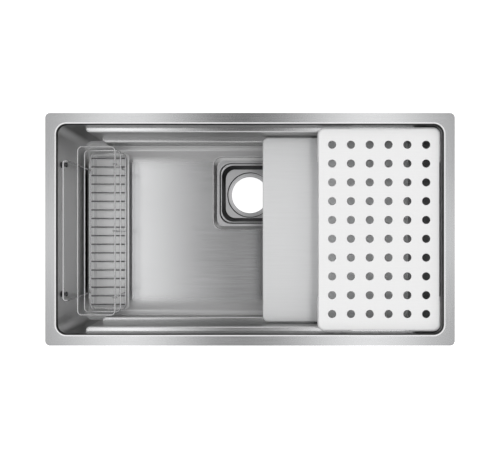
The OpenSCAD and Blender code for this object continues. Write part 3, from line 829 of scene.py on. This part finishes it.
def on_points(graph, points, shape):
    copies = graph.node("GeometryNodeInstanceOnPoints", {}, {"Points": points, "Instance": shape})
    return graph.node("GeometryNodeRealizeInstances", {}, {"Geometry": copies})


def circle_curve(graph, radius, sides):
    inputs = {"Resolution": sides, "Radius": radius}
    return graph.node("GeometryNodeCurvePrimitiveCircle", {}, inputs)


def sheet_plan(graph, given):
    sheet, hole = given["Sheet"], given["Hole radius"]
    flat_length = given["Length"] - given["Fold"] * 2
    flat_width = given["Width"] - given["Fold"] * 2
    frame_line = graph.node("GeometryNodeCurvePrimitiveQuadrilateral", {}, {
        "Width": flat_length, "Height": flat_width})
    outline = graph.node("GeometryNodeFilletCurve", {"mode": "POLY"}, {
        "Curve": frame_line, "Count": 10, "Radius": given["Corner"] - given["Fold"]})
    grid = graph.node("GeometryNodeMeshGrid", {}, {
        "Size X": given["Pitch"] * (given["Columns"] - 1), "Vertices X": given["Columns"],
        "Size Y": given["Pitch"] * (given["Rows"] - 1), "Vertices Y": given["Rows"]})
    wide = on_points(graph, grid, circle_curve(graph, hole + sheet, given["Sides"]))
    narrow = on_points(graph, grid, circle_curve(graph, hole, given["Sides"]))
    top = graph.node("GeometryNodeFillCurve", {}, {"Curve": joined(graph, outline, wide)})
    under = graph.node("GeometryNodeFillCurve", {}, {"Curve": joined(graph, outline, narrow)})
    under = graph.node("GeometryNodeFlipFaces", {}, {"Mesh": under})
    under = moved(graph, under, Z=sheet * -1)
    roll = graph.node("GeometryNodeCurveArc", {"mode": "RADIUS"}, {
        "Resolution": 6, "Radius": sheet, "Start Angle": math.pi, "Sweep Angle": math.pi / 2})
    roll = moved(graph, roll, X=sheet, Y=sheet)
    collar = graph.node("GeometryNodeCurveToMesh", {}, {
        "Curve": circle_curve(graph, hole, given["Sides"]), "Profile Curve": roll})
    collars = on_points(graph, grid, collar)
    section = graph.node("GeometryNodeMeshToCurve", {}, {"Mesh": given["Start"]})
    fold = graph.node("GeometryNodeCurveToMesh", {}, {"Curve": outline, "Profile Curve": section})
    plate = joined(graph, top, under, collars, fold)
    plate = graph.node("GeometryNodeMergeByDistance", {}, {"Geometry": plate, "Distance": 1e-5})
    return moved(graph, plate, X=given["Middle"], Z=given["Top"])


def weighted(piece):
    """Keeps flat faces flat next to rounded edges by weighing normals by area."""
    modifier = piece.modifiers.new("weigh", "WEIGHTED_NORMAL")
    modifier.keep_sharp = True
    evaluated = piece.evaluated_get(bpy.context.evaluated_depsgraph_get())
    result = bpy.data.meshes.new_from_object(evaluated)
    piece.modifiers.clear()
    piece.data = result
    return piece


# %% [markdown]
# The fold's section starts on the flat sheet, runs round the outside of the bend and down the skirt,
# turns at the sheared edge with a small radius and comes back on the inside. The length, the width
# and the height of the sheet are those of the node.

# %% Perforated drainer
DRAINER_SHEET = 1.2 * MM
DRAINER_FOLD = 2.5 * MM
DRAINER_CORNER = 13 * MM
SHEARED_EDGE = 0.3 * MM
HOLE_RADIUS = 8.5 * MM
HOLE_PITCH = 39.4 * MM

middle, half = middle_of("drainer_plate")
skirt = 2 * half.z
inner_fold = DRAINER_FOLD - DRAINER_SHEET
fold_section = [
    *arc_points((0, DRAINER_FOLD), DRAINER_FOLD, -90, 0),
    *arc_points((DRAINER_FOLD - SHEARED_EDGE, skirt - SHEARED_EDGE), SHEARED_EDGE, 0, 90, 3),
    *arc_points((inner_fold + SHEARED_EDGE, skirt - SHEARED_EDGE), SHEARED_EDGE, 90, 180, 3),
    *arc_points((0, DRAINER_FOLD), inner_fold, 0, -90),
]
drainer = grown("drainer_sheet", sheet_plan, {
    "Length": 2 * half.x, "Width": 2 * half.y, "Corner": DRAINER_CORNER, "Fold": DRAINER_FOLD,
    "Sheet": DRAINER_SHEET, "Hole radius": HOLE_RADIUS, "Pitch": HOLE_PITCH, "Columns": 6,
    "Rows": 10, "Sides": 40, "Middle": middle.x, "Top": middle.z + half.z,
}, drainer_steel, section_mesh("fold_section", fold_section))
seat(weighted(drainer), "drainer", "drainer_steel", "drainer_plate")

# %% [markdown]
# ## Lofts: the sump and the drip tray
#
# A pressed pan goes through a few outlines on its way down: rounded squares, and in the end a circle
# for the waste fitting. A loft joins such outlines by faces. Every outline has the same number of
# points, spread over its four corners, so point meets point and a square can turn into a circle.
# Real sheet has no sharp creases, so each outline is first replaced by a short curve of outlines.

# %% Loft helper
CORNER_STEPS = 20


def softened(stations, reach, steps=4):
    """Rounds the creases of a profile, whose stations are outlines written as vectors."""
    stations = [Vector(station) for station in stations]
    result = [stations[0]]
    for before, here, after in zip(stations, stations[1:], stations[2:]):
        entry = here + (before - here) * min(reach / (before - here).length, 0.45)
        leave = here + (after - here) * min(reach / (after - here).length, 0.45)
        for i in range(steps + 1):
            t = i / steps
            result.append(entry.lerp(here, t).lerp(here.lerp(leave, t), t))
    return result + [stations[-1]]


def outline_points(half_x, half_y, corner, centre, height):
    """A rounded rectangle, or a circle where the corner's radius is the half size."""
    points = []
    for quarter, (sx, sy) in enumerate(((1, 1), (-1, 1), (-1, -1), (1, -1))):
        for i in range(CORNER_STEPS):
            angle = (quarter + (i + 0.5) / CORNER_STEPS) * math.pi / 2
            points.append((centre[0] + sx * (half_x - corner) + corner * math.cos(angle),
                           centre[1] + sy * (half_y - corner) + corner * math.sin(angle), height))
    return points


def lofted(name, outlines, material, ring):
    """Joins outlines by faces, in a closed ring or with a cap at both ends."""
    count = len(outlines[0])
    pairs = list(zip(range(len(outlines)), range(1, len(outlines))))
    pairs += [(len(outlines) - 1, 0)] * ring
    faces = []
    for a, b in pairs:
        for i in range(count):
            j = (i + 1) % count
            faces.append((a * count + i, a * count + j, b * count + j, b * count + i))
    if not ring:
        faces += [tuple(range(count)), tuple(range((len(outlines) - 1) * count, len(outlines) * count))]
    shape = bmesh.new()
    corners = [shape.verts.new(point) for outline in outlines for point in outline]
    for face in faces:
        shape.faces.new([corners[i] for i in face])
    bmesh.ops.recalc_face_normals(shape, faces=shape.faces)
    mesh = bpy.data.meshes.new(name)
    shape.to_mesh(mesh)
    shape.free()
    mesh.materials.append(material)
    return weighted(new_object(name, smooth(mesh, 50)))


print("loft helper ready")

# %% [markdown]
# The sump goes down in two small steps and a slope to a flat pan, and its middle turns into the round
# seat of the waste. The outlines run down the inside and come back up the outside, so the loft is one
# closed sheet. The hole lies a little in front of the middle.

# %% Drain sump
SUMP_MIDDLE = 91.0
HOLE_BACK = 3.0
# Half side, corner radius, how far the middle lies to the front, and height, in millimetres
SUMP_INSIDE = [
    (87.5, 20.0, 0, -233.0), (80.5, 18.4, 0, -237.0), (74.5, 28.0, 0, -237.0),
    (71.5, 26.9, 0, -240.0), (69.0, 28.0, 0, -240.0), (60.0, 24.3, 0, -252.0),
    (56.0, 56.0, HOLE_BACK, -252.0), (54.2, 54.2, HOLE_BACK, -254.8),
    (50.0, 50.0, HOLE_BACK, -255.0), (44.5, 44.5, HOLE_BACK, -255.5),
]
SUMP_OUTSIDE = [
    (44.5, 44.5, HOLE_BACK, -256.5), (57.5, 57.5, HOLE_BACK, -256.5),
    (57.5, 57.5, HOLE_BACK, -253.5), (61.5, 25.8, 0, -253.5), (70.5, 29.5, 0, -241.5),
    (73.0, 28.4, 0, -241.5), (76.0, 29.5, 0, -238.5), (82.0, 19.9, 0, -238.5),
    (89.0, 21.5, 0, -233.0),
]
sump_stations = softened(SUMP_INSIDE, 1.3) + softened(SUMP_OUTSIDE, 0.6, 2)
sump_outlines = [
    outline_points(side * MM, side * MM, corner * MM, (0, (SUMP_MIDDLE - back) * MM), height * MM)
    for side, corner, back, height in sump_stations]
sump = lofted("sump_pressing", sump_outlines, sump_steel, ring=True)
seat(sump, "sink", "sump_steel", "drain_sump")

# %% [markdown]
# The drip tray is a shallow pan under the floor wires, with a rolled rim. Its outlines start in the
# pan, go up the slope and round the rim, and end on the underside.

# %% Drip tray
# How far in from the tray's edge, corner radius and depth, in millimetres
TRAY_STATIONS = [
    (10.5, 5.0, 8.2), (4.4, 7.0, 0.0), (0.4, 9.7, 0.0), (0.0, 10.0, 0.4), (0.4, 9.7, 0.8),
    (4.0, 7.0, 0.8), (10.0, 5.0, 9.0), (14.0, 4.0, 9.0),
]
middle, half = middle_of("drip_tray")
tray_stations = softened(TRAY_STATIONS, 0.9)
tray_outlines = [
    outline_points(half.x - inset * MM, half.y - inset * MM, corner * MM, (middle.x, middle.y),
                   middle.z + half.z - depth * MM)
    for inset, corner, depth in tray_stations]
tray = lofted("tray_pressing", tray_outlines, tray_steel, ring=False)
seat(tray, "basket", "tray_steel", "drip_tray")

# %% [markdown]
# ## The drainer's corner pads
#
# A moulded rubber channel grips the folded edge round each corner of the drainer. It keeps the steel
# from scratching the ledges and shows from above as a thin grey line. A loft along the fold's outline
# makes it: the same section at every station, drawn in a little at the two ends and at a narrow
# groove near each end, where such a pad is made to flex.

# %% Corner pads
PAD_ARM = 70 * MM
PAD_CORNER = DRAINER_CORNER
# Outwards from the fold's face and down from the drainer's top, in millimetres
PAD_SECTION = [
    (2.0, 10.3), (2.0, 2.0), (1.7, 1.4), (1.1, 1.2), (0.5, 1.3), (0.1, 1.7), (0.1, 8.05),
    (-1.3, 8.05), (-1.3, 4.4), (-1.6, 4.0), (-2.9, 4.0), (-3.2, 4.4), (-3.2, 10.3), (-2.8, 10.7),
    (1.6, 10.7),
]
# The point of the section that it is drawn in towards
PAD_CORE = (0.05, 8.0)
# Distance from the pad's end in millimetres, and how thick it is there
PAD_ENDS = [(0, 0.7), (0.5, 0.92), (1.2, 1.0), (7.0, 1.0), (7.3, 0.62), (8.3, 0.62), (8.6, 1.0)]


def pad_stations():
    """Stations along the pad as (part, distance back from the turn, angle, thickness)."""
    arm = PAD_ARM - PAD_CORNER
    start = [("arm", arm - far * MM, 0, share) for far, share in PAD_ENDS]
    turn = [("turn", 0, math.radians(angle), 1.0) for angle in range(0, 91, 9)]
    end = [("end", arm - far * MM, 0, share) for far, share in reversed(PAD_ENDS)]
    return start + turn + end


def pad_outlines(sx, sy, middle, half, top):
    """One outline of the pad for each station, on the corner that sx and sy name."""
    centre_x, centre_y = half.x - PAD_CORNER, half.y - PAD_CORNER
    outlines = []
    for kind, back, angle, share in pad_stations():
        if kind == "arm":
            base, out = Vector((centre_x - back, half.y)), Vector((0, 1))
        elif kind == "end":
            base, out = Vector((half.x, centre_y - back)), Vector((1, 0))
        else:
            out = Vector((math.sin(angle), math.cos(angle)))
            base = Vector((centre_x, centre_y)) + out * PAD_CORNER
        outline = []
        for off, depth in PAD_SECTION:
            off = PAD_CORE[0] + (off - PAD_CORE[0]) * share
            depth = PAD_CORE[1] + (depth - PAD_CORE[1]) * share
            place = base + out * off * MM
            outline.append((middle.x + sx * place.x, middle.y + sy * place.y, top - depth * MM))
        outlines.append(outline)
    return outlines


middle, half = middle_of("drainer_plate")
for corner, sx, sy in (("rear_right", 1, 1), ("rear_left", -1, 1), ("front_right", 1, -1),
                       ("front_left", -1, -1)):
    outlines = pad_outlines(sx, sy, middle, half, middle.z + half.z)
    pad = lofted("corner_pad_" + corner, outlines, pad_rubber, ring=False)
    seat(pad, "drainer", "grey_rubber", "drainer_pad_" + corner)

# %% [markdown]
# ## Turned pieces and their copies
#
# Studs, nuts and screws come off a lathe: a profile of radii and heights is spun round an axis, with
# many sides for a round piece and six for a hexagon. One pattern of each is made, and a tree sets a
# copy on every point of the start mesh. Nobody tightens screws to the same angle, so each copy gets a
# random turn on its own axis, from a fixed seed.

# %% Lathe and copies
def turned(name, shells, along_x=False):
    """Spins profiles of (radius, height). Each shell has its number of sides first."""
    shape = bmesh.new()
    for sides, profile in shells:
        rings = []
        for radius, height in profile:
            ring = []
            for i in range(sides if radius else 1):
                angle = 2 * math.pi * (i + 0.5) / sides
                place = (radius * math.cos(angle), radius * math.sin(angle), height)
                place = (place[2], place[0], place[1]) if along_x else place
                ring.append(shape.verts.new([part * MM for part in place]))
            rings.append(ring)
        for a, b in zip(rings, rings[1:]):
            for i in range(sides):
                j = i + 1
                corners = [a[i % len(a)], a[j % len(a)], b[j % len(b)], b[i % len(b)]]
                shape.faces.new(list(dict.fromkeys(corners)))
    bmesh.ops.remove_doubles(shape, verts=shape.verts, dist=1e-7)
    bmesh.ops.recalc_face_normals(shape, faces=shape.faces)
    mesh = bpy.data.meshes.new(name)
    shape.to_mesh(mesh)
    shape.free()
    return mesh


def copies_plan(graph, given):
    pattern = graph.node("GeometryNodeObjectInfo", {}, {"Object": given["Pattern"]}, "Geometry")
    roll = graph.node("FunctionNodeRandomValue", {"data_type": "FLOAT"}, {
        2: 0.0, 3: math.tau, "Seed": given["Seed"]}, 1)
    turn = graph.node("ShaderNodeCombineXYZ", {}, {
        "X": roll * given["Roll X"], "Z": roll * given["Roll Z"]})
    return graph.node("GeometryNodeInstanceOnPoints", {}, {
        "Points": given["Start"], "Instance": pattern, "Rotation": turn})


def copies(name, pattern_mesh, places, material, roll=(0.0, 1.0), seed=5):
    """Sets a copy of the pattern on each place, turned by chance about X or Z."""
    pattern = new_object(name + "_pattern", pattern_mesh)
    points = bpy.data.meshes.new(name)
    points.from_pydata(places, [], [])
    sizes = {"Pattern": pattern, "Seed": seed, "Roll X": roll[0], "Roll Z": roll[1]}
    piece = grown(name, copies_plan, sizes, material, points)
    bpy.data.objects.remove(pattern)
    return piece


def thread(radius, start, end, pitch=0.8, depth=0.35):
    """Profile of a thread as plain ridges, between two heights."""
    count = round((end - start) / pitch)
    step = (end - start) / count
    ridges = [(start + i * step, start + (i + 0.5) * step) for i in range(count)]
    return [pair for low, high in ridges for pair in ((radius - depth, low), (radius, high))]


print("lathe ready")

# %% [markdown]
# Each stud is turned from bar: a threaded end that goes through the wall, a collar inside, a neck for
# the hanger's rail and a domed head. A nut with chamfered corners holds it outside.

# %% Studs and nuts
STUD_SPREAD, STUD_DEPTH = 137 * MM, -32 * MM
stud_places = [(-IN_X, side * STUD_SPREAD, STUD_DEPTH) for side in (-1, 1)]
STUD = [
    (0, -8.5), (1.7, -8.5), *thread(2.5, -8.2, -1.4), (2.45, -1.2), (2.45, 1.0), (3.2, 1.0),
    (3.5, 1.3), (3.5, 9.2), (3.3, 9.5), (4.5, 9.5), (5.0, 10.0), (5.0, 12.1), (4.8, 12.7),
    (4.2, 13.1), (2.9, 13.4), (1.4, 13.5), (0, 13.5),
]
studs = copies("headed_studs", turned("stud", [(28, STUD)], along_x=True), stud_places, stud_steel,
               roll=(1.0, 0.0))
seat(studs, "sink", "stud_steel", "wall_studs")

NUT_BORE = 2.6
NUT = [
    (6, [(NUT_BORE, -6.5), (3.9, -6.5), (4.6, -6.1), (4.6, -2.9), (3.9, -2.5), (NUT_BORE, -2.5),
         (NUT_BORE, -6.5)]),
]
nuts = copies("hexagon_nuts", turned("nut", NUT, along_x=True), stud_places, zinc_plate,
              roll=(1.0, 0.0), seed=9)
seat(nuts, "sink", "zinc_plate", "stud_nuts")

# %% [markdown]
# ## Clamping screws
#
# Ten clips pull the rim down on the worktop. In each one a hexagon screw runs up through the clip's
# arm and ends in a flat foot that presses on the underside of the worktop. One pattern with a thread,
# a foot and a head is enough, and the tree sets it ten times with a turn by chance.

# %% Clip screws
SHAFT = [
    (0, -63.6), (2.1, -63.6), *thread(2.5, -63.4, -44.2), (2.2, -44.0), (2.2, -43.8), (3.7, -43.8),
    (4.0, -43.5), (4.0, -42.1), (3.7, -41.8), (0, -41.8),
]
HEAD = [(0, -67.0), (4.0, -67.0), (4.5, -66.6), (4.5, -63.8), (4.2, -63.5), (0, -63.5)]
CLIP_SPREAD_X, CLIP_SPREAD_Y = 220 * MM, 70 * MM
SCREW_X, SCREW_Y = 419.5 * MM, 236 * MM
LONG_SIDE = [(along * CLIP_SPREAD_X, side * SCREW_Y, 0) for along in (-1, 0, 1) for side in (-1, 1)]
SHORT_SIDE = [(side * SCREW_X, along * CLIP_SPREAD_Y, 0) for along in (-1, 1) for side in (-1, 1)]
screws = copies("clamping_screws", turned("screw", [(24, SHAFT), (6, HEAD)]),
                LONG_SIDE + SHORT_SIDE, zinc_plate, seed=3)
seat(screws, "sink", "zinc_plate", "clip_screws")

# %% [markdown]
# ## Weld beads
#
# The wires of the basket are resistance welded, which leaves a small bead at every crossing. The same
# tree sets a bead where each floor wire meets the bottom ring, and where the uprights and the legs of
# the hanger touch the rings.

# %% Weld beads
BEAD = [(0, -1.0), (0.7, -0.85), (1.15, -0.45), (1.3, 0), (1.15, 0.45), (0.7, 0.85), (0, 1.0)]

low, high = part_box("bottom_ring")
sides_x = (low[0] + ring_radius, high[0] - ring_radius)
seam_z = (low[2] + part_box("basket_floor_wires")[1][2]) / 2
bead_places = [(side, line[0][0].y, seam_z) for line in floor_lines for side in sides_x]
upright_x = (left + ring_radius + high[0] - 2 * ring_radius) / 2
leg_x = (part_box("hanger_frame")[1][0] + low[0]) / 2
for ring in ("top_ring", "middle_ring", "bottom_ring"):
    height = middle_of(ring)[0].z
    bead_places += [(upright_x, line[0][0].y, height) for line in uprights]
    bead_places += [(leg_x, across, height) for across in (front, rear)]
beads = copies("weld_beads", turned("bead", [(12, BEAD)]), bead_places, wire_steel, seed=7)
seat(beads, "basket", "wire_steel")

# %% [markdown]
# ## Dressing the engineering model
#
# Each node of the model keeps its exact shape and gets its finish by name. The nodes that later get
# a finer piece are dressed too, so that nothing is ever bare.

# %% Finishes by node
FINISHES = {
    "bowl": bowl_steel, "drain_sump": sump_steel, "drip_tray": tray_steel,
    "cover_plate": cover_steel, "drainer_plate": drainer_steel, "wall_studs": stud_steel,
    "stud_seals": black_rubber, "cover_feet": black_rubber, "rim_seals": foam,
}
GROUPS = {
    "ring": wire_steel, "basket": wire_steel, "hanger": wire_steel, "clip": zinc_plate,
    "stud": zinc_plate, "damper": damper_rubber, "pad": pad_rubber,
}


def finish_of(name):
    if name in FINISHES:
        return FINISHES[name]
    return next(finish for part, finish in GROUPS.items() if part in name)


for name, node in nodes.items():
    node.data.materials.clear()
    node.data.materials.append(finish_of(name))
print("dressed:", len(nodes))

# %% [markdown]
# ## Eased edges
#
# Folded sheet, cut foam and moulded rubber have no knife edges. The clips, their rails, the damping
# pads and the feet keep the exact shape of the model and get a small bevel, which catches the light
# as a real edge does. A copy of the node is bevelled, because the node itself stays as it is.

# %% Eased copies
MERGE_DISTANCE = 1e-6
FLAT_ANGLE = math.radians(1)
SHARP_ANGLE = math.radians(40)


def eased(name, parts, width, body, slot):
    """One copy of some nodes with its sharp edges rounded."""
    shape = bmesh.new()
    for part in parts:
        shape.from_mesh(nodes[part].data)
    bmesh.ops.remove_doubles(shape, verts=shape.verts, dist=MERGE_DISTANCE)
    bmesh.ops.dissolve_limit(shape, angle_limit=FLAT_ANGLE, verts=shape.verts, edges=shape.edges)
    sharp = [edge for edge in shape.edges if edge.calc_face_angle(0) > SHARP_ANGLE]
    bmesh.ops.bevel(shape, geom=sharp, offset=width, segments=2, profile=0.5, affect="EDGES",
                    clamp_overlap=True)
    bmesh.ops.recalc_face_normals(shape, faces=shape.faces)
    print("open edges:", sum(not edge.is_manifold for edge in shape.edges))
    mesh = bpy.data.meshes.new(name)
    shape.to_mesh(mesh)
    shape.free()
    for old in ("custom_normal", "sharp_edge", "sharp_face"):
        if old in mesh.attributes:
            mesh.attributes.remove(mesh.attributes[old])
    mesh.materials.append(finish_of(parts[0]))
    return seat(weighted(new_object(name, smooth(mesh, 60))), body, slot, *parts)


RAILS = ["clip_rail_rear", "clip_rail_front", "clip_rail_left", "clip_rail_right"]
DAMPERS = [name for name in nodes if "damper" in name]
eased("eased_clips", ["clips"], 0.25 * MM, "sink", "zinc_plate")
eased("eased_rails", RAILS, 0.3 * MM, "sink", "zinc_plate")
eased("damping_pads", DAMPERS, 0.6 * MM, "sink", "damper_rubber")
eased("foam_strips", ["rim_seals"], 0.4 * MM, "sink", "foam")
eased("rubber_feet", ["cover_feet"], 0.5 * MM, "cover", "black_rubber")
